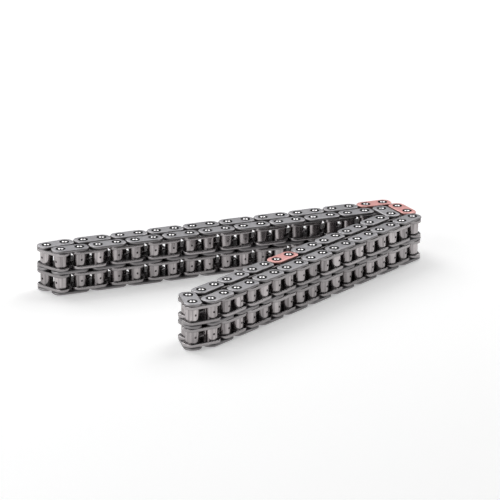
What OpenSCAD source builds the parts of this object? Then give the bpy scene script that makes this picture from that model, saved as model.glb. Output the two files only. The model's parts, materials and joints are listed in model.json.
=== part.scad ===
// Two-row bush timing chain: a closed loop laid flat on its side, doubled up and bent into a V.
// Millimetres. X runs to the right and Y away from the viewer, Z is up along the pins.
// Zero is under the middle of the loop, at the lower pin ends that the chain lies on.

/* [Chain] */
// Distance between neighbouring pins
pitch = 9.525; // [9.2:0.025:11]
// Clear width between the inner plates of one row
inner_width = 5.72; // [5.2:0.02:6.6]
// Side play between plates that turn on each other
side_gap = 0.15; // [0.1:0.01:0.25]

/* [Plates] */
// Height of every plate
plate_height = 8.3; // [7.6:0.1:8.8]
// Straight part at the end of a plate, between its two rounded corners
plate_end_flat = 1.2; // [0.8:0.1:1.6]
// Space left between the ends of neighbouring plates
plate_gap = 0.7; // [0.6:0.05:1.2]
// Thickness of the top and bottom outer plates
outer_plate_t = 1.1; // [0.9:0.05:1.3]
// Thickness of an inner plate
inner_plate_t = 1.6; // [1.3:0.05:1.8]
// Thickness of the middle plate between the two rows
middle_plate_t = 1.3; // [1.1:0.05:1.6]

/* [Pins and bushes] */
// Pin diameter
pin_d = 4.2; // [3.6:0.05:4.6]
// Running play between a pin and its bush, on the radius
pin_play = 0.06; // [0.03:0.01:0.1]
// Outside diameter of a bush
bush_d = 6.3; // [5.8:0.05:6.6]
// Diameter of the oil hole in each bush
oil_hole_d = 1.1; // [0.8:0.1:1.5]
// How far a riveted pin end spreads past its pin, on the radius
head_spread = 0.3; // [0.2:0.05:0.5]
// Height of a riveted pin end above its plate
head_h = 0.4; // [0.3:0.05:0.6]
// Height of the collar that riveting spreads over the plate
collar_h = 0.12; // [0.08:0.01:0.2]
// Radius of the crown left in the middle of a pin end
crown_r = 1.3; // [1.2:0.05:1.8]
// Radius of the ball-shaped dimple left by the riveting punch
dimple_r = 0.75; // [0.5:0.05:0.8]
// Depth of that dimple
dimple_depth = 0.3; // [0.15:0.05:0.3]

/* [Lay of the loop] */
// Clear space between the two runs of the back strand
back_run_gap = 1.4; // [1.2:0.05:1.8]
// Clear space between the two runs of the front strand
front_run_gap = 2.6; // [2.4:0.05:3]
// Direction of the back strand, in degrees from X
back_dir = 27.5; // [25:0.5:30]
// Direction of the front strand
front_dir = 55.5; // [53:0.5:58]
// Direction of the first crown link, which comes back at the left end
crown_dir_1 = -38.5; // [-41:0.5:-36]
// Direction of the second crown link, which comes back in the inner corner
crown_dir_2 = -60; // [-62:0.5:-58]

/* [Hidden] */

$fn = 64;
steel = [0.42, 0.42, 0.44];
dark_steel = [0.34, 0.33, 0.35];
bright_steel = [0.62, 0.62, 0.64];
copper = [0.78, 0.45, 0.4];

// Links in each strand, counted in the photograph
back_links = 18;
front_links = 17;

// A pressed joint is drawn this much apart on the radius, so that each piece stays its own solid
press = 0.01;
// A riveted pin end sits this far above its plate
seat = 0.01;
// Height of the crown's dome that is flattened where the pin ends lie on a surface
dome_flat = 0.15;
// Length by which a shank runs into its two heads
shank_overlap = 0.05;
// Length by which a bore is cut past the ends of its bush
bore_margin = 1;

plate_end = (pitch - plate_gap) / 2;
corner = min((plate_height - plate_end_flat) / 2, plate_end);
row_width = inner_width + 2 * inner_plate_t;
row_pitch = row_width + middle_plate_t + 2 * side_gap;
stack = row_pitch + row_width + 2 * side_gap + 2 * outer_plate_t;
height = stack + 2 * (seat + head_h);
mid_z = height / 2;
rows = [mid_z - row_pitch / 2, mid_z + row_pitch / 2];
head_r = pin_d / 2 + head_spread;
dome_h = head_h - collar_h + dome_flat;
dome_r = (crown_r * crown_r + dome_h * dome_h) / (2 * dome_h);

// The slanted links at the two ends hold the runs of each strand apart
end_dir = back_dir
    + asin((plate_height + back_run_gap) / pitch - sin(crown_dir_1 + 180 - back_dir));
crown_dir_3 = front_dir - 180
    + asin((plate_height + front_run_gap) / pitch - sin(end_dir + 180 - front_dir));

// Links that lie along one direction
function along(count, dir) = [for (i = [1 : count]) dir];

// Every link's direction, clockwise round the loop. Each direction comes back reversed
// on the opposite run, so that the loop always closes.
link_dir = concat(
    [end_dir],
    along(back_links, back_dir),
    [crown_dir_1, crown_dir_2, crown_dir_3],
    along(front_links, front_dir + 180),
    [end_dir + 180, crown_dir_3 + 180],
    along(front_links, front_dir),
    [crown_dir_2 + 180],
    along(back_links, back_dir + 180),
    [crown_dir_1 + 180]
);
links = len(link_dir);

function unit(dir) = [cos(dir), sin(dir)];

// Position of each pin, from the first one
pin_at = [for (i = 0, p = [0, 0]; i < links; p = p + pitch * unit(link_dir[i]), i = i + 1) p];

// Middles of the four rounded corners of a link's plates
function corners(i) = [
    for (x = [corner - plate_end, pitch + plate_end - corner], y = [-1, 1])
        pin_at[i] + x * unit(link_dir[i]) + y * (plate_height / 2 - corner) * unit(link_dir[i] + 90)
];
all_corners = [for (i = [0 : links - 1]) each corners(i)];
xs = [for (c = all_corners) c[0]];
ys = [for (c = all_corners) c[1]];
centre = [(min(xs) + max(xs)) / 2, (min(ys) + max(ys)) / 2];

// Moves what is drawn at a link's first pin, along X, to its place in the loop
module place(i) {
    translate([pin_at[i][0] - centre[0], pin_at[i][1] - centre[1], 0])
        rotate([0, 0, link_dir[i]])
            children();
}

// Straight-sided plate with rounded ends and a hole for each of its two pins or bushes
module plate_outline(hole_d) {
    difference() {
        union() {
            translate([corner - plate_end, -plate_height / 2])
                square([pitch + 2 * (plate_end - corner), plate_height]);
            translate([-plate_end, corner - plate_height / 2])
                square([pitch + 2 * plate_end, plate_height - 2 * corner]);
            for (x = [corner - plate_end, pitch + plate_end - corner], y = [-1, 1])
                translate([x, y * (plate_height / 2 - corner)])
                    circle(r = corner);
        }
        circle(d = hole_d);
        translate([pitch, 0])
            circle(d = hole_d);
    }
}

module plate(z, thick, hole_d) {
    translate([0, 0, z])
        linear_extrude(thick)
            plate_outline(hole_d);
}

// Half section of one riveted pin end: a collar, a flat-topped crown and the punch's dimple
module head_profile() {
    difference() {
        union() {
            square([head_r, collar_h]);
            intersection() {
                translate([0, collar_h + dome_h - dome_r])
                    circle(r = dome_r);
                square([crown_r, head_h]);
            }
        }
        translate([0, head_h + dimple_r - dimple_depth])
            circle(r = dimple_r);
    }
}

module pin() {
    rotate_extrude() {
        translate([0, head_h - shank_overlap])
            square([pin_d / 2, height - 2 * (head_h - shank_overlap)]);
        translate([0, height - head_h])
            head_profile();
        translate([0, head_h])
            mirror([0, 1])
                head_profile();
    }
}

// Bush pressed flush into its two inner plates, with an oil hole that faces out of the loop
module bush(z) {
    difference() {
        translate([0, 0, z - row_width / 2])
            cylinder(d = bush_d, h = row_width);
        translate([0, 0, z - row_width / 2 - bore_margin])
            cylinder(d = pin_d + 2 * pin_play, h = row_width + 2 * bore_margin);
        translate([0, 0, z])
            rotate([-90, 0, 0])
                cylinder(d = oil_hole_d, h = bush_d);
    }
}

module top_plate(i) {
    place(i)
        plate(mid_z + stack / 2 - outer_plate_t, outer_plate_t, pin_d + 2 * press);
}

// Outer link: bottom plate, middle plate, two pins and, unless it is a marker, the top plate
module outer_link(i, top = true) {
    color(steel)
        place(i)
            plate(mid_z - stack / 2, outer_plate_t, pin_d + 2 * press);
    color(steel)
        place(i)
            plate(mid_z - middle_plate_t / 2, middle_plate_t, pin_d + 2 * press);
    color(bright_steel)
        place(i)
            pin();
    color(bright_steel)
        place(i)
            translate([pitch, 0, 0])
                pin();
    if (top)
        color(steel)
            top_plate(i);
}

// Inner link: in each row two plates, joined by two bushes
module inner_link(i) {
    for (z = rows) {
        color(dark_steel)
            place(i)
                plate(z - row_width / 2, inner_plate_t, bush_d + 2 * press);
        color(dark_steel)
            place(i)
                plate(z + row_width / 2 - inner_plate_t, inner_plate_t, bush_d + 2 * press);
        for (x = [0, pitch])
            color(steel)
                place(i)
                    translate([x, 0, 0])
                        bush(z);
    }
}

// Left end of the back strand
module left_end_outer_link_1() {
    outer_link(76);
}
module left_end_inner_link_1() {
    inner_link(77);
}
module left_end_outer_link_2() {
    outer_link(0);
}
module left_end_inner_link_2() {
    inner_link(1);
}

// Outer run of the back strand, two links at a time
module back_outer_run_pair_1() {
    outer_link(2);
    inner_link(3);
}
module back_outer_run_pair_2() {
    outer_link(4);
    inner_link(5);
}
module back_outer_run_pair_3() {
    outer_link(6);
    inner_link(7);
}
module back_outer_run_pair_4() {
    outer_link(8);
    inner_link(9);
}
module back_outer_run_pair_5() {
    outer_link(10);
    inner_link(11);
}
module back_outer_run_pair_6() {
    outer_link(12);
    inner_link(13);
}
module back_outer_run_pair_7() {
    outer_link(14);
    inner_link(15);
}
module back_outer_run_pair_8() {
    outer_link(16);
    inner_link(17);
}

// Crown: the outer corner of the V
module crown_outer_link_1() {
    outer_link(18, top = false);
}
module crown_inner_link_1() {
    inner_link(19);
}
module crown_outer_link_2() {
    outer_link(20, top = false);
}
module crown_inner_link_2() {
    inner_link(21);
}
module crown_outer_link_3() {
    outer_link(22);
}

// Outer run of the front strand
module front_outer_run_pair_1() {
    inner_link(23);
    outer_link(24);
}
module front_outer_run_pair_2() {
    inner_link(25);
    outer_link(26);
}
module front_outer_run_pair_3() {
    inner_link(27);
    outer_link(28);
}
module front_outer_run_pair_4() {
    inner_link(29);
    outer_link(30);
}
module front_outer_run_pair_5() {
    inner_link(31);
    outer_link(32);
}
module front_outer_run_pair_6() {
    inner_link(33);
    outer_link(34);
}
module front_outer_run_pair_7() {
    inner_link(35);
    outer_link(36);
}
module front_outer_run_inner_link() {
    inner_link(37);
}

// Front end, nearest the viewer
module front_end_outer_link_1() {
    outer_link(38);
}
module front_end_inner_link_1() {
    inner_link(39);
}
module front_end_outer_link_2() {
    outer_link(40);
}
module front_end_inner_link_2() {
    inner_link(41);
}

// Inner run of the front strand
module front_inner_run_pair_1() {
    outer_link(42);
    inner_link(43);
}
module front_inner_run_pair_2() {
    outer_link(44);
    inner_link(45);
}
module front_inner_run_pair_3() {
    outer_link(46);
    inner_link(47);
}
module front_inner_run_pair_4() {
    outer_link(48, top = false);
    inner_link(49);
}
module front_inner_run_pair_5() {
    outer_link(50);
    inner_link(51);
}
module front_inner_run_pair_6() {
    outer_link(52);
    inner_link(53);
}
module front_inner_run_pair_7() {
    outer_link(54);
    inner_link(55);
}
module front_inner_run_outer_link() {
    outer_link(56);
}

// Inner corner of the V
module inner_corner_inner_link_1() {
    inner_link(57);
}
module inner_corner_outer_link() {
    outer_link(58);
}
module inner_corner_inner_link_2() {
    inner_link(59);
}

// Inner run of the back strand, two links at a time
module back_inner_run_pair_1() {
    outer_link(60);
    inner_link(61);
}
module back_inner_run_pair_2() {
    outer_link(62);
    inner_link(63);
}
module back_inner_run_pair_3() {
    outer_link(64);
    inner_link(65);
}
module back_inner_run_pair_4() {
    outer_link(66);
    inner_link(67);
}
module back_inner_run_pair_5() {
    outer_link(68);
    inner_link(69);
}
module back_inner_run_pair_6() {
    outer_link(70);
    inner_link(71);
}
module back_inner_run_pair_7() {
    outer_link(72);
    inner_link(73);
}
module back_inner_run_pair_8() {
    outer_link(74);
    inner_link(75);
}

// Copper coloured plates that mark the timing positions
module marker_plate_1() {
    color(copper)
        top_plate(18);
}
module marker_plate_2() {
    color(copper)
        top_plate(20);
}
module marker_plate_3() {
    color(copper)
        top_plate(48);
}

left_end_outer_link_1();
left_end_inner_link_1();
left_end_outer_link_2();
left_end_inner_link_2();
back_outer_run_pair_1();
back_outer_run_pair_2();
back_outer_run_pair_3();
back_outer_run_pair_4();
back_outer_run_pair_5();
back_outer_run_pair_6();
back_outer_run_pair_7();
back_outer_run_pair_8();
crown_outer_link_1();
crown_inner_link_1();
crown_outer_link_2();
crown_inner_link_2();
crown_outer_link_3();
front_outer_run_pair_1();
front_outer_run_pair_2();
front_outer_run_pair_3();
front_outer_run_pair_4();
front_outer_run_pair_5();
front_outer_run_pair_6();
front_outer_run_pair_7();
front_outer_run_inner_link();
front_end_outer_link_1();
front_end_inner_link_1();
front_end_outer_link_2();
front_end_inner_link_2();
front_inner_run_pair_1();
front_inner_run_pair_2();
front_inner_run_pair_3();
front_inner_run_pair_4();
front_inner_run_pair_5();
front_inner_run_pair_6();
front_inner_run_pair_7();
front_inner_run_outer_link();
inner_corner_inner_link_1();
inner_corner_outer_link();
inner_corner_inner_link_2();
back_inner_run_pair_1();
back_inner_run_pair_2();
back_inner_run_pair_3();
back_inner_run_pair_4();
back_inner_run_pair_5();
back_inner_run_pair_6();
back_inner_run_pair_7();
back_inner_run_pair_8();
marker_plate_1();
marker_plate_2();
marker_plate_3();
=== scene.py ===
"""Two-row bush timing chain, dressed link by link and laid on a white table in soft studio light."""

import json
import logging
import math
from dataclasses import dataclass, field
from enum import Enum

import bmesh
import bpy
from mathutils import Matrix, Vector
from mathutils.geometry import tessellate_polygon

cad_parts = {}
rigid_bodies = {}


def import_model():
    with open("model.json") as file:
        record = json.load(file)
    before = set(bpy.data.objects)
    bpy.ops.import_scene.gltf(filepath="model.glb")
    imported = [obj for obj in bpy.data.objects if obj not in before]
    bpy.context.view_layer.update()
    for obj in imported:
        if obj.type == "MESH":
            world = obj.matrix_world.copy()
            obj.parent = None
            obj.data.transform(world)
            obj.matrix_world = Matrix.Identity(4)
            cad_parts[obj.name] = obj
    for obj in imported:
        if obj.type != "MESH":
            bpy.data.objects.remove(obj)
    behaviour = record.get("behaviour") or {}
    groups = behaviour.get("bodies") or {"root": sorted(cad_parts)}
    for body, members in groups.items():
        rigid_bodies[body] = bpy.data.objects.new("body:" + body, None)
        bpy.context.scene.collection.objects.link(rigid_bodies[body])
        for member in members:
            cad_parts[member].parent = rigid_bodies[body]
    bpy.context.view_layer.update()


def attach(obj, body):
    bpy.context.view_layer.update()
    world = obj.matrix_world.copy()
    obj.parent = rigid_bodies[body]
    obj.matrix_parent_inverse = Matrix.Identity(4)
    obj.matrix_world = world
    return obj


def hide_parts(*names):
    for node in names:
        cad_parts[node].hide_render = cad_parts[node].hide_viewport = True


LOG = logging.getLogger("timing_chain")
MM = 0.001
Point = tuple[float, float, float]
Colour = tuple[float, float, float, float]


class Kind(Enum):
    """The two sorts of link that take turns round the loop."""

    OUTER = "outer"
    INNER = "inner"


class Piece(Enum):
    """The separate pieces that the links are put together from."""

    OUTER_PLATE = "Outer plate"
    MIDDLE_PLATE = "Middle plate"
    INNER_PLATE = "Inner plate"
    BUSH = "Bush"
    PIN = "Pin"


@dataclass(frozen=True)
class ChainSizes:
    """Driving sizes of the chain, in metres."""

    pitch: float = 9.525 * MM
    inner_width: float = 5.72 * MM
    side_gap: float = 0.15 * MM
    plate_height: float = 8.3 * MM
    plate_end_flat: float = 1.2 * MM
    plate_gap: float = 0.7 * MM
    outer_plate_t: float = 1.1 * MM
    inner_plate_t: float = 1.6 * MM
    middle_plate_t: float = 1.3 * MM
    pin_r: float = 2.1 * MM
    pin_play: float = 0.06 * MM
    bush_r: float = 3.15 * MM
    oil_hole_r: float = 0.55 * MM
    head_r: float = 2.4 * MM
    head_h: float = 0.4 * MM
    collar_h: float = 0.12 * MM
    crown_r: float = 1.3 * MM
    land_r: float = 0.8 * MM
    dimple_r: float = 0.6 * MM
    dimple_depth: float = 0.3 * MM
    seat: float = 0.01 * MM
    edge: float = 0.25 * MM
    back_run_gap: float = 1.4 * MM
    front_run_gap: float = 2.6 * MM

    @property
    def plate_end(self) -> float:
        """How far a plate reaches past its pins."""
        return (self.pitch - self.plate_gap) / 2

    @property
    def corner(self) -> float:
        """Radius of a plate's corners."""
        return (self.plate_height - self.plate_end_flat) / 2

    @property
    def row_width(self) -> float:
        """Width of one row over its inner plates."""
        return self.inner_width + 2 * self.inner_plate_t

    @property
    def row_pitch(self) -> float:
        """Distance between the middles of the two rows."""
        return self.row_width + self.middle_plate_t + 2 * self.side_gap

    @property
    def stack(self) -> float:
        """Width of the chain over its outer plates."""
        return self.row_pitch + self.row_width + 2 * (self.side_gap + self.outer_plate_t)

    @property
    def height(self) -> float:
        """Length of a pin over both riveted ends."""
        return self.stack + 2 * (self.seat + self.head_h)


@dataclass
class LoopLay:
    """How the loop lies: the direction of each link, clockwise, and the place of each pin.

    Directions are degrees from +X. Each one comes back reversed on the opposite run.
    """

    sizes: ChainSizes
    back_dir: float = 27.5
    front_dir: float = 55.5
    crown_dir_1: float = -38.5
    crown_dir_2: float = -60.0
    back_links: int = 18
    front_links: int = 17
    directions: list[float] = field(init=False)
    pins: list[Vector] = field(init=False)

    def __post_init__(self) -> None:
        """Works out the directions and centres the pins on the loop's box."""
        self.directions = self._directions()
        place = Vector((0, 0, 0))
        self.pins = []
        for degrees in self.directions:
            self.pins.append(place.copy())
            place += self.sizes.pitch * self._along(degrees)
        corners = [c for i in range(len(self.pins)) for c in self._plate_corners(i)]
        middle = Vector((0, 0, 0))
        for axis in (0, 1):
            values = [c[axis] for c in corners]
            middle[axis] = (min(values) + max(values)) / 2
        self.pins = [p - middle for p in self.pins]

    @staticmethod
    def _along(degrees: float) -> Vector:
        """Unit vector in a direction of the plan."""
        angle = math.radians(degrees)
        return Vector((math.cos(angle), math.sin(angle), 0))

    @staticmethod
    def _sin(degrees: float) -> float:
        """Sine of an angle in degrees."""
        return math.sin(math.radians(degrees))

    def _directions(self) -> list[float]:
        """Lists every link's direction from the first slanted link at the left end.

        Returns:
            Degrees from +X, one for each link.
        """
        s = self.sizes
        back_rise = (s.plate_height + s.back_run_gap) / s.pitch
        end = self.back_dir + math.degrees(
            math.asin(back_rise - self._sin(self.crown_dir_1 + 180 - self.back_dir))
        )
        front_rise = (s.plate_height + s.front_run_gap) / s.pitch
        crown_3 = self.front_dir - 180 + math.degrees(
            math.asin(front_rise - self._sin(end + 180 - self.front_dir))
        )
        return [
            end,
            *[self.back_dir] * self.back_links,
            self.crown_dir_1,
            self.crown_dir_2,
            crown_3,
            *[self.front_dir + 180] * self.front_links,
            end + 180,
            crown_3 + 180,
            *[self.front_dir] * self.front_links,
            self.crown_dir_2 + 180,
            *[self.back_dir + 180] * self.back_links,
            self.crown_dir_1 + 180,
        ]

    def _plate_corners(self, link: int) -> list[Vector]:
        """Middles of the rounded corners of a link's plates.

        Args:
            link: The link's place in the loop.

        Returns:
            Four points in the plan.
        """
        s = self.sizes
        along = self._along(self.directions[link])
        across = self._along(self.directions[link] + 90)
        reach = s.plate_end - s.corner
        rise = s.plate_height / 2 - s.corner
        return [
            self.pins[link] + x * along + y * across
            for x in (-reach, s.pitch + reach)
            for y in (-rise, rise)
        ]


@dataclass(frozen=True)
class BodyPlan:
    """One rigid body of the chain: its name and the links that it holds."""

    name: str
    links: tuple[int, ...]


@dataclass(frozen=True)
class Section:
    """A stretch of the loop whose bodies share a name."""

    name: str
    first: int
    pairs: int = 0
    singles: int = 0

    def bodies(self, loop_length: int) -> list[BodyPlan]:
        """Names the stretch's bodies in travel order, pairs of links before single ones.

        Args:
            loop_length: Number of links in the loop.

        Returns:
            One plan for each body.
        """
        plans = []
        for n in range(self.pairs):
            link = self.first + 2 * n
            plans.append(BodyPlan(f"{self.name}_pair_{n + 1}", (link, link + 1)))
        start = self.first + 2 * self.pairs
        kinds = [kind_of(start + n) for n in range(self.singles)]
        for n, kind in enumerate(kinds):
            name = f"{self.name}_{kind.value}_link"
            if kinds.count(kind) > 1:
                name += f"_{kinds[: n + 1].count(kind)}"
            plans.append(BodyPlan(name, ((start + n) % loop_length,)))
        return plans


def kind_of(link: int) -> Kind:
    """Tells whether a link of the loop is an outer or an inner one."""
    return Kind.INNER if link % 2 else Kind.OUTER


SECTIONS = (
    Section("left_end", first=76, singles=4),
    Section("back_outer_run", first=2, pairs=8),
    Section("crown", first=18, singles=5),
    Section("front_outer_run", first=23, pairs=7, singles=1),
    Section("front_end", first=38, singles=4),
    Section("front_inner_run", first=42, pairs=7, singles=1),
    Section("inner_corner", first=57, singles=3),
    Section("back_inner_run", first=60, pairs=8),
)
MARKED_LINKS = (18, 20, 48)
MIDDLE_TONE = 0.5


@dataclass(frozen=True)
class MetalFinish:
    """A metal surface: a base and a stain mixed in clouds, with a fine grain, rubbed edges and its
    own colour on the cut sides; on pins, inner plates and bushes some of these colours are painted
    shade.
    """

    name: str
    base: Colour
    stain: Colour
    edge: Colour
    cut: Colour
    roughness: float
    roughness_spread: float
    grain_scale: Point
    bump: float
    tone_spread: float = 0.18
    stain_amount: float = 0.6
    stain_scale: float = 420.0
    stain_stretch: Point = (1.0, 1.0, 1.0)
    stain_start: float = 0.42
    stain_full: float = 0.68
    stain_detail: float = 5.0
    grain_detail: float = 3.0
    grain_depth: float = 0.05 * MM
    upright_sheen: float = 0.0

    def material(self) -> bpy.types.Material:
        """Builds the finish as a node material on Object coordinates.

        Returns:
            The new material.
        """
        material = bpy.data.materials.new(self.name)
        material.use_nodes = True
        tree = material.node_tree
        tree.nodes.clear()
        out = tree.nodes.new("ShaderNodeOutputMaterial")
        shader = tree.nodes.new("ShaderNodeBsdfPrincipled")
        shader.inputs["Metallic"].default_value = 1.0
        tree.links.new(shader.outputs["BSDF"], out.inputs["Surface"])
        place = tree.nodes.new("ShaderNodeTexCoord").outputs["Object"]
        grain = self._noise(tree, place, self.grain_scale, 1.0, self.grain_detail)
        clouds = self._noise(tree, place, self.stain_stretch, self.stain_scale, self.stain_detail)
        colour = self._colour(tree, clouds)
        tree.links.new(colour, shader.inputs["Base Color"])
        rough = tree.nodes.new("ShaderNodeMapRange")
        rough.inputs["To Min"].default_value = self.roughness - self.roughness_spread
        rough.inputs["To Max"].default_value = self.roughness + self.roughness_spread
        tree.links.new(self._mean(tree, grain, clouds), rough.inputs["Value"])
        tree.links.new(rough.outputs["Result"], shader.inputs["Roughness"])
        bump = tree.nodes.new("ShaderNodeBump")
        bump.inputs["Strength"].default_value = self.bump
        bump.inputs["Distance"].default_value = self.grain_depth
        tree.links.new(grain, bump.inputs["Height"])
        tree.links.new(bump.outputs["Normal"], shader.inputs["Normal"])
        if self.upright_sheen:
            upright = tree.nodes.new("ShaderNodeCombineXYZ")
            upright.inputs["Z"].default_value = 1.0
            tree.links.new(upright.outputs["Vector"], shader.inputs["Tangent"])
            shader.inputs["Anisotropic"].default_value = self.upright_sheen
        return material

    @staticmethod
    def _noise(
        tree: bpy.types.NodeTree,
        place: bpy.types.NodeSocket,
        stretch: Point,
        scale: float,
        detail: float,
    ) -> bpy.types.NodeSocket:
        """Adds a noise pattern stretched along the axes.

        Args:
            tree: The material's tree.
            place: The coordinates that the pattern sits on.
            stretch: Scale along each axis, per metre.
            scale: Scale of the noise itself.
            detail: Detail of the noise.

        Returns:
            The pattern's value socket.
        """
        mapping = tree.nodes.new("ShaderNodeMapping")
        mapping.inputs["Scale"].default_value = stretch
        tree.links.new(place, mapping.inputs["Vector"])
        noise = tree.nodes.new("ShaderNodeTexNoise")
        noise.inputs["Scale"].default_value = scale
        noise.inputs["Detail"].default_value = detail
        tree.links.new(mapping.outputs["Vector"], noise.inputs["Vector"])
        return noise.outputs["Fac"]

    @staticmethod
    def _mean(
        tree: bpy.types.NodeTree, first: bpy.types.NodeSocket, second: bpy.types.NodeSocket
    ) -> bpy.types.NodeSocket:
        """Averages two values.

        Args:
            tree: The material's tree.
            first: One value.
            second: The other value.

        Returns:
            The mean's socket.
        """
        mean = tree.nodes.new("ShaderNodeMix")
        mean.data_type = "FLOAT"
        mean.inputs[0].default_value = 0.5
        tree.links.new(first, mean.inputs[2])
        tree.links.new(second, mean.inputs[3])
        return mean.outputs[0]

    def _colour(
        self, tree: bpy.types.NodeTree, clouds: bpy.types.NodeSocket
    ) -> bpy.types.NodeSocket:
        """Mixes the base, the stain, the cut sides and the rubbed edges, each piece in its own tone;
        some of these colours are painted shade, as noted at each finish.

        Args:
            tree: The material's tree.
            clouds: The cloudy pattern that places the stain, which on bushes and inner plates is
                partly painted shade.

        Returns:
            The finished colour's socket.
        """
        # The stain mix: on inner plates and bushes it also lays painted shade, as noted at their
        # finishes.
        stain_and_shade_mask = tree.nodes.new("ShaderNodeMapRange")
        stain_and_shade_mask.inputs["From Min"].default_value = self.stain_start
        stain_and_shade_mask.inputs["From Max"].default_value = self.stain_full
        stain_and_shade_mask.inputs["To Max"].default_value = self.stain_amount
        tree.links.new(clouds, stain_and_shade_mask.inputs["Value"])
        stained_and_shaded = tree.nodes.new("ShaderNodeMix")
        stained_and_shaded.data_type = "RGBA"
        stained_and_shaded.inputs[6].default_value = self.base
        stained_and_shaded.inputs[7].default_value = self.stain
        tree.links.new(stain_and_shade_mask.outputs["Result"], stained_and_shaded.inputs[0])
        colour = stained_and_shaded.outputs[2]
        # Cut sides and rubbed edges take their own colours; on pins these two colours are painted
        # shade on the collar and in the dimple.
        for name, wear_and_shade_colour in (("cut", self.cut), ("edge", self.edge)):
            layer = tree.nodes.new("ShaderNodeMix")
            layer.data_type = "RGBA"
            layer.inputs[7].default_value = wear_and_shade_colour
            where = tree.nodes.new("ShaderNodeAttribute")
            where.attribute_name = name
            tree.links.new(where.outputs["Fac"], layer.inputs[0])
            tree.links.new(colour, layer.inputs[6])
            colour = layer.outputs[2]
        tone = tree.nodes.new("ShaderNodeAttribute")
        tone.attribute_name = "tone"
        level = tree.nodes.new("ShaderNodeMapRange")
        level.inputs["To Min"].default_value = 1.0 - self.tone_spread
        level.inputs["To Max"].default_value = 1.0 + self.tone_spread
        tree.links.new(tone.outputs["Fac"], level.inputs["Value"])
        shade = tree.nodes.new("ShaderNodeHueSaturation")
        tree.links.new(level.outputs["Result"], shade.inputs["Value"])
        tree.links.new(colour, shade.inputs["Color"])
        return shade.outputs["Color"]


PLATE_FINISH = MetalFinish(
    "tumbled_plate_steel",
    base=(0.36, 0.354, 0.37, 1.0),
    stain=(0.29, 0.283, 0.296, 1.0),
    edge=(0.46, 0.448, 0.46, 1.0),
    cut=(0.27, 0.257, 0.26, 1.0),
    roughness=0.4,
    roughness_spread=0.08,
    grain_scale=(2600.0, 2600.0, 2600.0),
    bump=0.12,
    tone_spread=0.1,
)
# Inner plates: the base and stain are painted shade, far darker than the outer plates' steel, so the
# flat faces between the rows read as shaded; the cut sides and edges are lighter.
INNER_PLATE_FINISH_AND_SHADE = MetalFinish(
    "tumbled_inner_plate_steel",
    base=(0.13, 0.122, 0.125, 1.0),
    stain=(0.08, 0.075, 0.077, 1.0),
    edge=(0.42, 0.4, 0.405, 1.0),
    cut=(0.34, 0.321, 0.324, 1.0),
    roughness=0.24,
    roughness_spread=0.1,
    grain_scale=(2600.0, 2600.0, 2600.0),
    bump=0.12,
)
# Bushes: the stain is stretched into upright streaks at full strength, partly stain and partly
# painted reflection streaks.
BUSH_FINISH_AND_PAINTED_STREAKS = MetalFinish(
    "ground_bush_steel",
    base=(0.46, 0.43, 0.433, 1.0),
    stain=(0.22, 0.203, 0.206, 1.0),
    edge=(0.46, 0.43, 0.433, 1.0),
    cut=(0.02, 0.02, 0.02, 1.0),
    roughness=0.18,
    roughness_spread=0.05,
    grain_scale=(350.0, 350.0, 9000.0),
    bump=0.1,
    stain_amount=1.0,
    stain_scale=800.0,
    stain_stretch=(1.0, 1.0, 0.05),
    upright_sheen=0.5,
)
# Pins: the edge colour is painted shade in the dimple, and the cut colour is a painted shade ring on
# the collar round each riveted end.
PIN_FINISH_AND_SHADE = MetalFinish(
    "riveted_pin_steel",
    base=(0.58, 0.57, 0.575, 1.0),
    stain=(0.48, 0.47, 0.475, 1.0),
    edge=(0.1, 0.096, 0.1, 1.0),
    cut=(0.045, 0.042, 0.045, 1.0),
    roughness=0.18,
    roughness_spread=0.05,
    grain_scale=(3000.0, 3000.0, 3000.0),
    bump=0.05,
    tone_spread=0.08,
)
MARKER_FINISH = MetalFinish(
    "copper_marker",
    base=(0.74, 0.385, 0.365, 1.0),
    stain=(0.66, 0.33, 0.305, 1.0),
    edge=(0.74, 0.44, 0.41, 1.0),
    cut=(0.5, 0.24, 0.21, 1.0),
    roughness=0.42,
    roughness_spread=0.06,
    grain_scale=(2600.0, 2600.0, 2600.0),
    bump=0.1,
    tone_spread=0.06,
)


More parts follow.
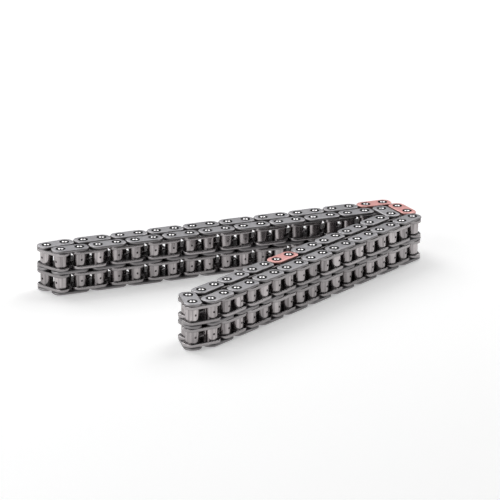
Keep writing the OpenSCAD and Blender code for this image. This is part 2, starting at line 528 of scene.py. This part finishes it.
@dataclass
class PieceShop:
    """Makes one of each piece, lying along X from its link's first pin.

    The dimple's bend is given in shares of the dimple's radius and depth.
    """

    sizes: ChainSizes
    corner_steps: int = 6
    hole_steps: int = 16
    round_steps: int = 24
    dome_steps: int = 4
    dimple_bend_r: float = 0.6
    dimple_bend_depth: float = 0.75
    plate_crease: float = math.radians(50)
    round_crease: float = math.radians(35)

    def make_all(self) -> dict[Piece, bpy.types.Object]:
        """Makes every piece once, as a pattern for the links.

        Returns:
            The pattern object of each piece.
        """
        s = self.sizes
        patterns = {
            Piece.OUTER_PLATE: self._plate("outer_plate", s.outer_plate_t, s.pin_r),
            Piece.MIDDLE_PLATE: self._plate("middle_plate", s.middle_plate_t, s.pin_r),
            Piece.INNER_PLATE: self._plate("inner_plate", s.inner_plate_t, s.bush_r),
            Piece.BUSH: self._bush(),
            Piece.PIN: self._pin(),
        }
        for piece, pattern in patterns.items():
            LOG.info("pattern %s has %d faces", piece.value, len(pattern.data.polygons))
        return patterns

    def _outline(self, inset: float) -> list[Vector]:
        """Traces a plate's outline, drawn in evenly.

        Args:
            inset: Distance from the full outline.

        Returns:
            The outline's points, anticlockwise.
        """
        s = self.sizes
        radius = s.corner - inset
        reach = s.plate_end - s.corner
        rise = s.plate_height / 2 - s.corner
        middles = (
            (s.pitch + reach, rise, 0.0),
            (-reach, rise, 90.0),
            (-reach, -rise, 180.0),
            (s.pitch + reach, -rise, 270.0),
        )
        points = []
        for x, y, start in middles:
            for n in range(self.corner_steps + 1):
                angle = math.radians(start + 90.0 * n / self.corner_steps)
                points.append(Vector((x + radius * math.cos(angle), y + radius * math.sin(angle), 0)))
        return points

    def _circle(self, x: float, radius: float) -> list[Vector]:
        """Traces a pin hole, clockwise.

        Args:
            x: The hole's place along the plate.
            radius: The hole's radius.

        Returns:
            The circle's points.
        """
        turn = -2 * math.pi / self.hole_steps
        return [
            Vector((x + radius * math.cos(n * turn), radius * math.sin(n * turn), 0))
            for n in range(self.hole_steps)
        ]

    def _plate(self, name: str, thick: float, hole_r: float) -> bpy.types.Object:
        """Makes a plate with two holes and broken edges, its thickness centred on zero.

        Args:
            name: The pattern's name.
            thick: The plate's thickness.
            hole_r: Radius of its holes.

        Returns:
            The pattern object.
        """
        s = self.sizes
        mesh = bmesh.new()
        edge_layer = mesh.faces.layers.float.new("edge")
        cut_layer = mesh.faces.layers.float.new("cut")
        half = thick / 2
        levels = ((-half, s.edge), (s.edge - half, 0.0), (half - s.edge, 0.0), (half, s.edge))
        rings = [
            [mesh.verts.new(p + Vector((0, 0, z))) for p in self._outline(inset)]
            for z, inset in levels
        ]
        for n in range(len(rings) - 1):
            for face in self._band(mesh, rings[n], rings[n + 1]):
                face[cut_layer if n == 1 else edge_layer] = 1.0
        holes = []
        for x in (0.0, s.pitch):
            circle = self._circle(x, hole_r + s.seat)
            pair = [[mesh.verts.new(p + Vector((0, 0, z))) for p in circle] for z in (-half, half)]
            self._band(mesh, pair[0], pair[1])
            holes.append(pair)
        for level, ring in ((0, rings[0]), (1, rings[-1])):
            loops = [ring, *[pair[level] for pair in holes]]
            verts = [v for loop in loops for v in loop]
            for triple in tessellate_polygon([[v.co for v in loop] for loop in loops]):
                mesh.faces.new([verts[i] for i in triple])
        return self._finish(mesh, name, self.plate_crease)

    @staticmethod
    def _band(
        mesh: bmesh.types.BMesh, low: list[bmesh.types.BMVert], high: list[bmesh.types.BMVert]
    ) -> list[bmesh.types.BMFace]:
        """Joins two closed rings of points with faces.

        Args:
            mesh: The mesh that is built.
            low: One ring.
            high: The other ring, with as many points.

        Returns:
            The new faces.
        """
        count = len(low)
        return [
            mesh.faces.new((low[n], low[(n + 1) % count], high[(n + 1) % count], high[n]))
            for n in range(count)
        ]

    def _lathe(
        self, mesh: bmesh.types.BMesh, profile: list[tuple[float, float]], closed: bool
    ) -> list[list[bmesh.types.BMFace]]:
        """Turns a profile about Z.

        Args:
            mesh: The mesh that is built.
            profile: Radius and height of each point. A radius of zero is a pole.
            closed: Whether the last point joins the first.

        Returns:
            The faces of each band between neighbouring points.
        """
        rings = []
        for radius, z in profile:
            if radius == 0.0:
                rings.append([mesh.verts.new((0, 0, z))])
                continue
            turn = 2 * math.pi / self.round_steps
            rings.append([
                mesh.verts.new((radius * math.cos(n * turn), radius * math.sin(n * turn), z))
                for n in range(self.round_steps)
            ])
        following = rings[1:] + (rings[:1] if closed else [])
        bands = []
        for low, high in zip(rings, following):
            if len(low) > 1 and len(high) > 1:
                bands.append(self._band(mesh, low, high))
                continue
            pole, ring = (low[0], high) if len(low) == 1 else (high[0], low)
            count = len(ring)
            bands.append([
                mesh.faces.new((pole, ring[n], ring[(n + 1) % count])) for n in range(count)
            ])
        return bands

    def _head_profile(self) -> list[tuple[float, float]]:
        """Traces half a section of a riveted pin end, from the plate up to the dimple's bottom.

        Returns:
            Radius and height over the plate of each point.
        """
        s = self.sizes
        rise = s.head_h - s.collar_h
        bulge = (s.crown_r**2 - s.land_r**2 - rise**2) / (2 * rise)
        radius = math.hypot(s.crown_r, bulge)
        points = [(s.head_r, 0.0), (s.head_r, s.collar_h), (s.crown_r, s.collar_h)]
        for n in range(1, self.dome_steps + 1):
            r = s.crown_r + (s.land_r - s.crown_r) * n / self.dome_steps
            points.append((r, s.collar_h - bulge + math.sqrt(radius**2 - r**2)))
        points.append((s.dimple_r, s.head_h))
        bend_depth = self.dimple_bend_depth * s.dimple_depth
        points.append((self.dimple_bend_r * s.dimple_r, s.head_h - bend_depth))
        points.append((0.0, s.head_h - s.dimple_depth))
        return points

    def _pin(self) -> bpy.types.Object:
        """Makes a pin with both ends riveted over, standing on zero.

        Returns:
            The pattern object.
        """
        s = self.sizes
        head = self._head_profile()
        low = [(r, s.head_h - z) for r, z in reversed(head)]
        high = [(r, s.height - s.head_h + z) for r, z in head]
        shank = [(s.pin_r, s.head_h), (s.pin_r, s.height - s.head_h)]
        mesh = bmesh.new()
        # The dimple's faces take the edge colour, painted shade, and the collar's faces take the cut
        # colour, a painted shade ring.
        dimple_layer = mesh.faces.layers.float.new("edge")
        collar_layer = mesh.faces.layers.float.new("cut")
        bands = self._lathe(mesh, low + shank + high, closed=False)
        shaded = [(dimple_layer, n) for n in (0, 1)]
        shaded += [(collar_layer, len(low) - 2 - n) for n in (0, 1)]
        for layer, n in shaded:
            for face in (*bands[n], *bands[-1 - n]):
                face[layer] = 1.0
        return self._finish(mesh, "pin", self.round_crease)

    def _bush(self) -> bpy.types.Object:
        """Makes a bush, centred on zero, with an oil hole through the wall on its +Y side.

        Returns:
            The pattern object.
        """
        s = self.sizes
        half = s.row_width / 2
        bore = s.pin_r + s.pin_play
        mesh = bmesh.new()
        profile = [(s.bush_r, -half), (s.bush_r, half), (bore, half), (bore, -half)]
        self._lathe(mesh, profile, closed=True)
        bush = self._finish(mesh, "bush", self.round_crease)
        drill_mesh = bmesh.new()
        turned = Matrix.Rotation(math.pi / 2, 4, "X") @ Matrix.Translation((0, 0, -s.bush_r))
        bmesh.ops.create_cone(
            drill_mesh,
            cap_ends=True,
            segments=self.hole_steps,
            radius1=s.oil_hole_r,
            radius2=s.oil_hole_r,
            depth=s.bush_r,
            matrix=turned,
        )
        drill = self._finish(drill_mesh, "oil_hole_drill", self.round_crease)
        cut = bush.modifiers.new("oil_hole", "BOOLEAN")
        cut.object = drill
        cut.solver = "EXACT"
        drilled = plain_copy(bush)
        bush.modifiers.clear()
        bush.data = drilled
        drilled.set_sharp_from_angle(angle=self.round_crease)
        bpy.data.objects.remove(drill)
        return bush

    @staticmethod
    def _finish(mesh: bmesh.types.BMesh, name: str, crease: float) -> bpy.types.Object:
        """Turns a mesh's faces outwards, smooths its rounds and puts it in the scene.

        Args:
            mesh: The finished shape.
            name: Name of the new object.
            crease: Angle above which an edge stays crisp.

        Returns:
            The new object.
        """
        bmesh.ops.recalc_face_normals(mesh, faces=mesh.faces)
        data = bpy.data.meshes.new(name)
        mesh.to_mesh(data)
        mesh.free()
        data.shade_smooth()
        data.set_sharp_from_angle(angle=crease)
        pattern = bpy.data.objects.new(name, data)
        bpy.context.scene.collection.objects.link(pattern)
        return pattern


def plain_copy(source: bpy.types.Object) -> bpy.types.Mesh:
    """Turns an object with modifiers into a plain mesh.

    Args:
        source: The object, linked to the scene.

    Returns:
        A mesh of its evaluated shape.
    """
    bpy.context.view_layer.update()
    graph = bpy.context.evaluated_depsgraph_get()
    return bpy.data.meshes.new_from_object(source.evaluated_get(graph))


class LinkTree:
    """Geometry Nodes tree that stacks the pieces of a link on each of the loop's link points.

    A point is a link's first pin. Its attributes say which way the link lies and which kind it is.
    """

    LENGTHS = (
        "Pitch",
        "Row pitch",
        "Row width",
        "Stack height",
        "Outer plate thickness",
        "Inner plate thickness",
        "Middle height",
    )

    def __init__(self) -> None:
        """Builds the tree with its named inputs."""
        self.tree = bpy.data.node_groups.new("chain_links", "GeometryNodeTree")
        self.tree.is_modifier = True
        self.ids: dict[str, str] = {}
        self._input("Link points", "NodeSocketGeometry")
        for name in self.LENGTHS:
            self._input(name, "NodeSocketFloat")
        self._input("Seed", "NodeSocketInt")
        self._input("Top plate", "NodeSocketBool")
        for piece in Piece:
            self._input(piece.value, "NodeSocketObject")
        for finish in ("Plate finish", "Inner plate finish", "Bush finish", "Pin finish"):
            self._input(finish, "NodeSocketMaterial")
        self.tree.interface.new_socket("Links", in_out="OUTPUT", socket_type="NodeSocketGeometry")
        self.given = self.tree.nodes.new("NodeGroupInput")
        self._build()

    def _input(self, name: str, kind: str) -> None:
        """Adds a named input and keeps its identifier."""
        socket = self.tree.interface.new_socket(name, in_out="INPUT", socket_type=kind)
        self.ids[name] = socket.identifier

    def _node(self, kind: str, **inputs: object) -> bpy.types.Node:
        """Adds a node and sets or links its inputs, where underscores stand for spaces.

        Args:
            kind: The node's type.
            **inputs: A socket to link or a plain value, by input name.

        Returns:
            The new node.
        """
        node = self.tree.nodes.new(kind)
        for name, value in inputs.items():
            socket = node.inputs[name.replace("_", " ")]
            if isinstance(value, bpy.types.NodeSocket):
                self.tree.links.new(value, socket)
            else:
                socket.default_value = value
        return node

    def _math(self, operation: str, first: object, second: object) -> bpy.types.NodeSocket:
        """Adds a sum, difference, product or quotient.

        Args:
            operation: Name of the operation.
            first: A socket or number.
            second: A socket or number.

        Returns:
            The result's socket.
        """
        node = self.tree.nodes.new("ShaderNodeMath")
        node.operation = operation
        for socket, value in zip(node.inputs, (first, second)):
            if isinstance(value, bpy.types.NodeSocket):
                self.tree.links.new(value, socket)
            else:
                socket.default_value = value
        return node.outputs[0]

    def _vector(self, axis: str, value: bpy.types.NodeSocket) -> bpy.types.NodeSocket:
        """Makes a vector with one part set."""
        return self._node("ShaderNodeCombineXYZ", **{axis: value}).outputs[0]

    def _line(
        self, axis: str, start: object, step: bpy.types.NodeSocket
    ) -> bpy.types.NodeSocket:
        """Makes two points in a line.

        Args:
            axis: The line's axis.
            start: Place of the first point along it, or None for zero.
            step: Distance to the second point.

        Returns:
            The points' geometry socket.
        """
        line = self._node("GeometryNodeMeshLine", Count=2, Offset=self._vector(axis, step))
        if start is not None:
            self.tree.links.new(self._vector(axis, start), line.inputs["Start Location"])
        return line.outputs["Mesh"]

    def _pattern(self, piece: Piece) -> bpy.types.NodeSocket:
        """Takes a piece's pattern in as an instance.

        Args:
            piece: The piece.

        Returns:
            The pattern's geometry socket.
        """
        source = self.given.outputs[piece.value]
        info = self._node("GeometryNodeObjectInfo", Object=source, As_Instance=True)
        return info.outputs["Geometry"]

    def _copies(
        self, points: bpy.types.NodeSocket, pattern: bpy.types.NodeSocket
    ) -> bpy.types.NodeSocket:
        """Puts a pattern on every point."""
        node = self._node("GeometryNodeInstanceOnPoints", Points=points, Instance=pattern)
        return node.outputs["Instances"]

    def _raised(
        self, pattern: bpy.types.NodeSocket, height: bpy.types.NodeSocket
    ) -> bpy.types.NodeSocket:
        """Lifts a pattern.

        Args:
            pattern: The geometry to lift.
            height: How far.

        Returns:
            The lifted geometry's socket.
        """
        shift = self._vector("Z", height)
        node = self._node("GeometryNodeTransform", Geometry=pattern, Translation=shift)
        return node.outputs["Geometry"]

    def _joined(self, parts: list[bpy.types.NodeSocket]) -> bpy.types.NodeSocket:
        """Joins several geometries.

        Args:
            parts: Their sockets.

        Returns:
            The joined geometry's socket.
        """
        node = self.tree.nodes.new("GeometryNodeJoinGeometry")
        for part in parts:
            self.tree.links.new(part, node.inputs["Geometry"])
        return node.outputs["Geometry"]

    def _named(self, name: str, kind: str) -> bpy.types.NodeSocket:
        """Reads an attribute of the link points.

        Args:
            name: The attribute's name.
            kind: Its data type.

        Returns:
            The attribute's socket.
        """
        node = self.tree.nodes.new("GeometryNodeInputNamedAttribute")
        node.data_type = kind
        node.inputs["Name"].default_value = name
        return node.outputs["Attribute"]

    def _dressed(
        self,
        stack: bpy.types.NodeSocket,
        chosen: bpy.types.NodeSocket,
        finish: str,
    ) -> bpy.types.NodeSocket:
        """Puts a stack of pieces on the chosen link points, as real mesh with its finish.

        Args:
            stack: The pieces of one link.
            chosen: Which points take them.
            finish: Name of the finish input.

        Returns:
            The finished geometry's socket.
        """
        heading = self._vector("Z", self._named("heading", "FLOAT"))
        turn = self._node("FunctionNodeEulerToRotation", Euler=heading)
        placed = self._node(
            "GeometryNodeInstanceOnPoints",
            Points=self.given.outputs["Link points"],
            Selection=chosen,
            Instance=stack,
            Rotation=turn.outputs["Rotation"],
        )
        real = self._node("GeometryNodeRealizeInstances", Geometry=placed.outputs["Instances"])
        island = self.tree.nodes.new("GeometryNodeInputMeshIsland").outputs["Island Index"]
        chance = self.tree.nodes.new("FunctionNodeRandomValue")
        chance.data_type = "FLOAT"
        self.tree.links.new(island, chance.inputs["ID"])
        self.tree.links.new(self.given.outputs["Seed"], chance.inputs["Seed"])
        store = self.tree.nodes.new("GeometryNodeStoreNamedAttribute")
        store.data_type = "FLOAT"
        store.domain = "FACE"
        store.inputs["Name"].default_value = "tone"
        self.tree.links.new(real.outputs["Geometry"], store.inputs["Geometry"])
        self.tree.links.new(chance.outputs[1], store.inputs["Value"])
        dress = self._node(
            "GeometryNodeSetMaterial",
            Geometry=store.outputs["Geometry"],
            Material=self.given.outputs[finish],
        )
        return dress.outputs["Geometry"]

    def _build(self) -> None:
        """Lays out the stacks of an outer and an inner link."""
        given = self.given.outputs
        middle = given["Middle height"]
        pitch = given["Pitch"]
        is_inner = self._named("inner", "BOOLEAN")
        is_outer = self._node("FunctionNodeBooleanMath")
        is_outer.operation = "NOT"
        self.tree.links.new(is_inner, is_outer.inputs[0])
        outer = is_outer.outputs[0]
        rows = self._line(
            "Z",
            self._math("SUBTRACT", middle, self._math("DIVIDE", given["Row pitch"], 2.0)),
            given["Row pitch"],
        )
        wall_step = self._math("SUBTRACT", given["Row width"], given["Inner plate thickness"])
        walls = self._line("Z", self._math("DIVIDE", wall_step, -2.0), wall_step)
        inner_plates = self._copies(rows, self._copies(walls, self._pattern(Piece.INNER_PLATE)))
        ends = self._line("X", None, pitch)
        bushes = self._copies(rows, self._copies(ends, self._pattern(Piece.BUSH)))
        pins = self._copies(ends, self._pattern(Piece.PIN))
        plate_step = self._math(
            "DIVIDE",
            self._math("SUBTRACT", given["Stack height"], given["Outer plate thickness"]),
            2.0,
        )
        plate = self._pattern(Piece.OUTER_PLATE)
        bottom = self._raised(plate, self._math("SUBTRACT", middle, plate_step))
        top = self._raised(plate, self._math("ADD", middle, plate_step))
        shown = self.tree.nodes.new("GeometryNodeSwitch")
        shown.input_type = "GEOMETRY"
        self.tree.links.new(given["Top plate"], shown.inputs["Switch"])
        self.tree.links.new(top, shown.inputs["True"])
        between = self._raised(self._pattern(Piece.MIDDLE_PLATE), middle)
        plates = self._joined([bottom, between, shown.outputs[0]])
        finished = self._joined([
            self._dressed(plates, outer, "Plate finish"),
            self._dressed(pins, outer, "Pin finish"),
            self._dressed(inner_plates, is_inner, "Inner plate finish"),
            self._dressed(bushes, is_inner, "Bush finish"),
        ])
        out = self.tree.nodes.new("NodeGroupOutput")
        self.tree.links.new(finished, out.inputs["Links"])


@dataclass
class Chain:
    """The whole chain: its sizes, how it lies, its finishes and the meshes of its bodies."""

    sizes: ChainSizes
    lay: LoopLay
    rounding_weight: int = 80
    finishes: dict[str, bpy.types.Material] = field(default_factory=dict)
    patterns: dict[Piece, bpy.types.Object] = field(default_factory=dict)

    def build(self) -> None:
        """Makes every body's links and the marker plates, and seats them on the frame."""
        for finish in (PLATE_FINISH, INNER_PLATE_FINISH_AND_SHADE, BUSH_FINISH_AND_PAINTED_STREAKS, PIN_FINISH_AND_SHADE, MARKER_FINISH):
            self.finishes[finish.name] = finish.material()
        self.patterns = PieceShop(self.sizes).make_all()
        links = LinkTree()
        carriers: dict[int, str] = {}
        for section in SECTIONS:
            for plan in section.bodies(len(self.lay.pins)):
                self._body(plan, links)
                carriers.update({link: plan.name for link in plan.links})
        for number, link in enumerate(MARKED_LINKS, start=1):
            self._marker(number, link, carriers[link])
        for pattern in self.patterns.values():
            bpy.data.objects.remove(pattern)

    def _body(self, plan: BodyPlan, links: LinkTree) -> None:
        """Makes one body's links and seats them on the frame in place of its node.

        Args:
            plan: The body's name and links.
            links: The tree that stacks the pieces.
        """
        host = self._points(plan)
        modifier = host.modifiers.new("links", "NODES")
        modifier.node_group = links.tree
        for name, value in self._tree_values(plan).items():
            modifier[links.ids[name]] = value
        mesh = plain_copy(host)
        bpy.data.objects.remove(host)
        piece = self._piece(f"{plan.name}_metal", mesh)
        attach(piece, plan.name)
        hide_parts(plan.name)

    def _points(self, plan: BodyPlan) -> bpy.types.Object:
        """Marks a body's links as points with their directions and kinds.

        Args:
            plan: The body's name and links.

        Returns:
            An object with one point for each link.
        """
        mesh = bpy.data.meshes.new("link_points")
        mesh.from_pydata([self.lay.pins[i] for i in plan.links], [], [])
        heading = mesh.attributes.new("heading", "FLOAT", "POINT")
        inner = mesh.attributes.new("inner", "BOOLEAN", "POINT")
        for n, link in enumerate(plan.links):
            heading.data[n].value = math.radians(self.lay.directions[link])
            inner.data[n].value = kind_of(link) is Kind.INNER
        host = bpy.data.objects.new("link_points", mesh)
        bpy.context.scene.collection.objects.link(host)
        return host

    def _tree_values(self, plan: BodyPlan) -> dict[str, object]:
        """Lists the tree's inputs for one body.

        Args:
            plan: The body's name and links.

        Returns:
            A value for each named input.
        """
        s = self.sizes
        values: dict[str, object] = {
            "Pitch": s.pitch,
            "Row pitch": s.row_pitch,
            "Row width": s.row_width,
            "Stack height": s.stack,
            "Outer plate thickness": s.outer_plate_t,
            "Inner plate thickness": s.inner_plate_t,
            "Middle height": s.height / 2,
            "Seed": plan.links[0],
            "Top plate": not set(plan.links) & set(MARKED_LINKS),
            "Plate finish": self.finishes[PLATE_FINISH.name],
            "Inner plate finish": self.finishes[INNER_PLATE_FINISH_AND_SHADE.name],
            "Bush finish": self.finishes[BUSH_FINISH_AND_PAINTED_STREAKS.name],
            "Pin finish": self.finishes[PIN_FINISH_AND_SHADE.name],
        }
        values.update({piece.value: pattern for piece, pattern in self.patterns.items()})
        return values

    def _marker(self, number: int, link: int, body: str) -> None:
        """Makes a copper coloured top plate and seats it on its link's body.

        Args:
            number: The marker's number.
            link: The outer link that it tops.
            body: The body that carries that link.
        """
        s = self.sizes
        mesh = self.patterns[Piece.OUTER_PLATE].data.copy()
        height = (s.height + s.stack - s.outer_plate_t) / 2
        turn = Matrix.Rotation(math.radians(self.lay.directions[link]), 4, "Z")
        place = Matrix.Translation(self.lay.pins[link] + Vector((0, 0, height)))
        mesh.transform(place @ turn)
        mesh.materials.append(self.finishes[MARKER_FINISH.name])
        tone = mesh.attributes.new("tone", "FLOAT", "FACE")
        for value in tone.data:
            value.value = MIDDLE_TONE
        piece = self._piece(f"marker_plate_{number}_copper", mesh)
        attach(piece, body)
        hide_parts(f"marker_plate_{number}")

    def _piece(self, name: str, mesh: bpy.types.Mesh) -> bpy.types.Object:
        """Puts a finished mesh in the scene, with broken edges that shade as small rounds.

        Args:
            name: The piece's name.
            mesh: Its mesh, already in place.

        Returns:
            The new object, at the origin.
        """
        piece = bpy.data.objects.new(name, mesh)
        bpy.context.scene.collection.objects.link(piece)
        rounds = piece.modifiers.new("rounded_edges", "WEIGHTED_NORMAL")
        rounds.keep_sharp = True
        rounds.weight = self.rounding_weight
        piece.data = plain_copy(piece)
        piece.data.name = name
        piece.modifiers.clear()
        LOG.info("%s has %d faces", name, len(piece.data.polygons))
        return piece


@dataclass(frozen=True)
class SoftBox:
    """A rectangular studio lamp that faces the middle of the table."""

    name: str
    place: Point
    width: float
    length: float
    power: float

    def build(self) -> None:
        """Hangs the lamp and turns it to the chain."""
        light = bpy.data.lights.new(self.name, "AREA")
        light.shape = "RECTANGLE"
        light.size = self.width
        light.size_y = self.length
        light.energy = self.power
        lamp = bpy.data.objects.new(self.name, light)
        lamp.location = self.place
        facing = -Vector(self.place)
        lamp.rotation_euler = facing.to_track_quat("-Z", "Y").to_euler()
        bpy.context.scene.collection.objects.link(lamp)


@dataclass(frozen=True)
class Studio:
    """White table, soft lamps and the camera at the photograph's angle. Angles are in degrees."""

    camera_place: Point = (63.30 * MM, -1173.01 * MM, 397.85 * MM)
    camera_yaw: float = -2.620
    camera_dip: float = 17.788
    camera_roll: float = -0.613
    camera_lens: float = 186.31
    camera_sensor: float = 36.0
    camera_reach: float = 20.0
    table_half: float = 4.0
    table_drop: float = 0.02 * MM
    table_colour: Colour = (0.9, 0.9, 0.9, 1.0)
    table_glow: float = 0.34
    room_light: float = 0.08
    lamps: tuple[SoftBox, ...] = (
        SoftBox("left_overhead_box", (-0.65, 0.7, 1.0), 0.7, 1.1, 6.8),
        SoftBox("right_overhead_box", (0.55, 0.7, 1.0), 0.7, 1.1, 5.7),
        SoftBox("back_box", (0.0, 1.0, 0.65), 1.4, 0.3, 3.1),
        SoftBox("front_left_box", (-0.75, -0.7, 0.42), 1.1, 0.8, 5.4),
        SoftBox("right_fill_box", (1.25, -1.2, 0.58), 2.8, 0.5, 2.6),
        SoftBox("left_fill_box", (-1.7, 0.1, 0.6), 1.4, 0.5, 1.3),
    )

    def build(self) -> None:
        """Sets the table, the light and the camera."""
        self._table()
        self._world()
        for lamp in self.lamps:
            lamp.build()
        self._camera()
        bpy.context.scene.view_settings.view_transform = "Standard"

    def _table(self) -> None:
        """Lays a pale table under the chain that keeps its soft shadow."""
        mesh = bpy.data.meshes.new("table")
        half = self.table_half
        corners = [(-half, -half), (half, -half), (half, half), (-half, half)]
        mesh.from_pydata([(x, y, -self.table_drop) for x, y in corners], [], [(0, 1, 2, 3)])
        table = bpy.data.objects.new("table", mesh)
        bpy.context.scene.collection.objects.link(table)
        material = bpy.data.materials.new("white_table")
        material.use_nodes = True
        tree = material.node_tree
        tree.nodes.clear()
        out = tree.nodes.new("ShaderNodeOutputMaterial")
        matte = tree.nodes.new("ShaderNodeBsdfDiffuse")
        matte.inputs["Color"].default_value = self.table_colour
        glow = tree.nodes.new("ShaderNodeEmission")
        glow.inputs["Color"].default_value = (1.0, 1.0, 1.0, 1.0)
        tree.links.new(self._seen(tree, self.table_glow), glow.inputs["Strength"])
        both = tree.nodes.new("ShaderNodeAddShader")
        tree.links.new(matte.outputs["BSDF"], both.inputs[0])
        tree.links.new(glow.outputs["Emission"], both.inputs[1])
        tree.links.new(both.outputs["Shader"], out.inputs["Surface"])
        mesh.materials.append(material)

    @staticmethod
    def _seen(tree: bpy.types.NodeTree, strength: float) -> bpy.types.NodeSocket:
        """Gives a strength to rays that the camera, metal and glass send, and none to others.

        Args:
            tree: The node tree to add to.
            strength: The strength for those rays.

        Returns:
            The strength's socket.
        """
        path = tree.nodes.new("ShaderNodeLightPath")
        total = path.outputs["Is Camera Ray"]
        for name in ("Is Glossy Ray", "Is Transmission Ray"):
            either = tree.nodes.new("ShaderNodeMath")
            either.operation = "MAXIMUM"
            tree.links.new(total, either.inputs[0])
            tree.links.new(path.outputs[name], either.inputs[1])
            total = either.outputs[0]
        product = tree.nodes.new("ShaderNodeMath")
        product.operation = "MULTIPLY"
        product.inputs[1].default_value = strength
        tree.links.new(total, product.inputs[0])
        return product.outputs[0]

    def _world(self) -> None:
        """Surrounds the table with dim, even light."""
        world = bpy.data.worlds.new("dim_room")
        world.use_nodes = True
        tree = world.node_tree
        back = tree.nodes["Background"]
        back.inputs["Color"].default_value = (1.0, 1.0, 1.0, 1.0)
        back.inputs["Strength"].default_value = self.room_light
        bpy.context.scene.world = world

    def _camera(self) -> None:
        """Sets the camera where the photograph was taken from."""
        yaw, dip, roll = (
            math.radians(a) for a in (self.camera_yaw, self.camera_dip, self.camera_roll)
        )
        ahead = Vector((math.sin(yaw) * math.cos(dip), math.cos(yaw) * math.cos(dip), -math.sin(dip)))
        right = Vector((math.cos(yaw), -math.sin(yaw), 0))
        up = right.cross(ahead)
        turned_right = math.cos(roll) * right - math.sin(roll) * up
        turned_up = math.sin(roll) * right + math.cos(roll) * up
        data = bpy.data.cameras.new("camera")
        data.lens = self.camera_lens
        data.sensor_fit = "HORIZONTAL"
        data.sensor_width = self.camera_sensor
        data.clip_end = self.camera_reach
        camera = bpy.data.objects.new("camera", data)
        turn = Matrix((turned_right, turned_up, -ahead)).transposed().to_4x4()
        camera.matrix_world = Matrix.Translation(self.camera_place) @ turn
        bpy.context.scene.collection.objects.link(camera)
        bpy.context.scene.camera = camera


def main() -> None:
    """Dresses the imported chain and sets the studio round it."""
    logging.basicConfig(level=logging.INFO, format="%(message)s")
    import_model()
    sizes = ChainSizes()
    Chain(sizes, LoopLay(sizes)).build()
    Studio().build()


if __name__ == "__main__":
    main()
